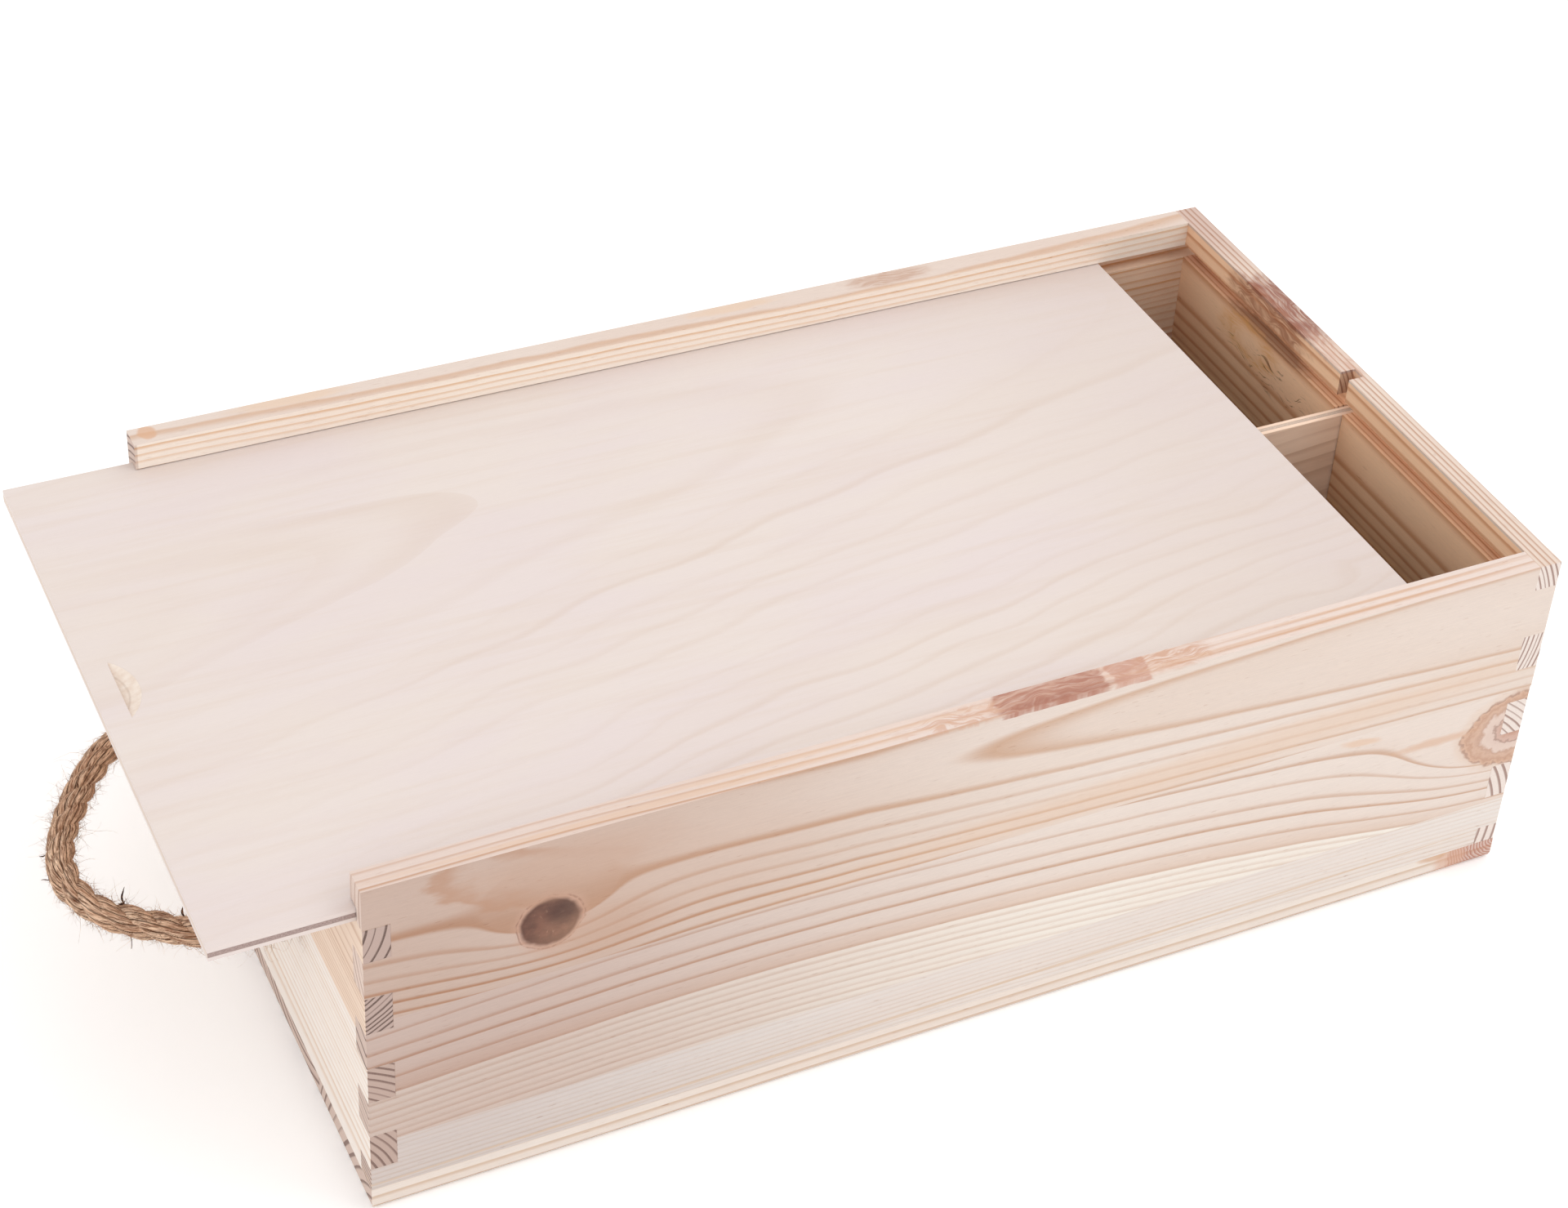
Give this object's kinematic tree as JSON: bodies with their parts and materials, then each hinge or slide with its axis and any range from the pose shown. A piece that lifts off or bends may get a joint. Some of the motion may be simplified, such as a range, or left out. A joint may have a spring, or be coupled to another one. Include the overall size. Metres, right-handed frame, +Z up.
{
  "type": "two-bottle wine crate",
  "caption": "Finger-jointed pine gift crate for wine bottles, with a sliding plywood lid in grooves, a plywood divider and a knotted jute rope handle.",
  "frame": {"origin": "centre of the box's underside, where it stands on a surface (the lid and the rope handle are left out of that centre)", "axes": "+X along the box from the rope-handle end to the tall back end; +Y from the near long side to the far one; +Z up. The lid slides out towards -X."},
  "size_m": [0.4042, 0.2, 0.112],
  "materials": {
    "pine": "planed, raw",
    "birch_plywood": "sanded, raw",
    "jute_rope": "laid, hairy"
  },
  "bodies": {
    "root": {"bottom_stave_1": "pine", "bottom_stave_2": "pine", "bottom_stave_3": "pine", "bottom_stave_4": "pine", "near_stave_1": "pine", "near_stave_2": "pine", "near_stave_3": "pine", "far_stave_1": "pine", "far_stave_2": "pine", "far_stave_3": "pine", "front_stave_1": "pine", "front_stave_2": "pine", "back_stave_1": "pine", "back_stave_2": "pine", "back_stave_3": "pine", "divider": "birch_plywood", "rope_end_near": "jute_rope", "rope_end_far": "jute_rope", "knot_near": "jute_rope", "knot_far": "jute_rope"},
    "lid_panel": {"lid": "birch_plywood"},
    "handle": {"rope_loop": "jute_rope"}
  },
  "joints": [
    {"name": "lid_slide", "type": "slide", "parent": "root", "child": "lid_panel", "axis": [-1, 0, 0], "range_m": [-0.0363, 0.2987]},
    {"name": "handle_swing", "type": "hinge", "parent": "root", "child": "handle", "pos_m": [-0.1795, 0, 0.0533], "axis": [0, 1, 0], "range_deg": [-75, 60]}
  ]
}
